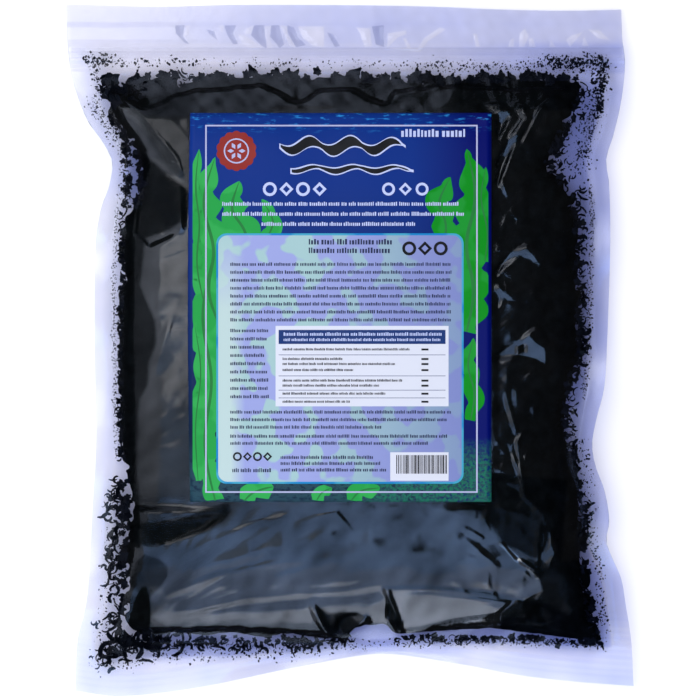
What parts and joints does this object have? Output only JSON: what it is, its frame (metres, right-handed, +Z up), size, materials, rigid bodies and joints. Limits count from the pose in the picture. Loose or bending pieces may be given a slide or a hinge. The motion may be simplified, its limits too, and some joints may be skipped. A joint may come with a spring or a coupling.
{
  "type": "sealed pouch of dried cut wakame",
  "caption": "Clear press-to-close pouch packed with dried cut wakame, lying on its back, with a zip in its header and a printed sticker on its front.",
  "frame": {"origin": "middle of the pack's plan, on the surface that its back lies on", "axes": "+X across the pack to the label's right, +Y along it towards the zip, +Z up out of the label"},
  "size_m": [0.274, 0.3336, 0.0372],
  "materials": {
    "clear_film": "clear glossy laminated film with a faint lavender tint, creased",
    "zip_plastic": "clear ribbed polyethylene zip profile",
    "label_print": "glossy printed sticker in deep blue, green and pale blue",
    "dried_wakame": "near-black dried cut seaweed, curled shreds and crumbs with a dull blue-grey sheen"
  },
  "bodies": {
    "root": {"pouch": "clear_film", "zip_strip": "zip_plastic", "label": "label_print"}
  },
  "joints": []
}
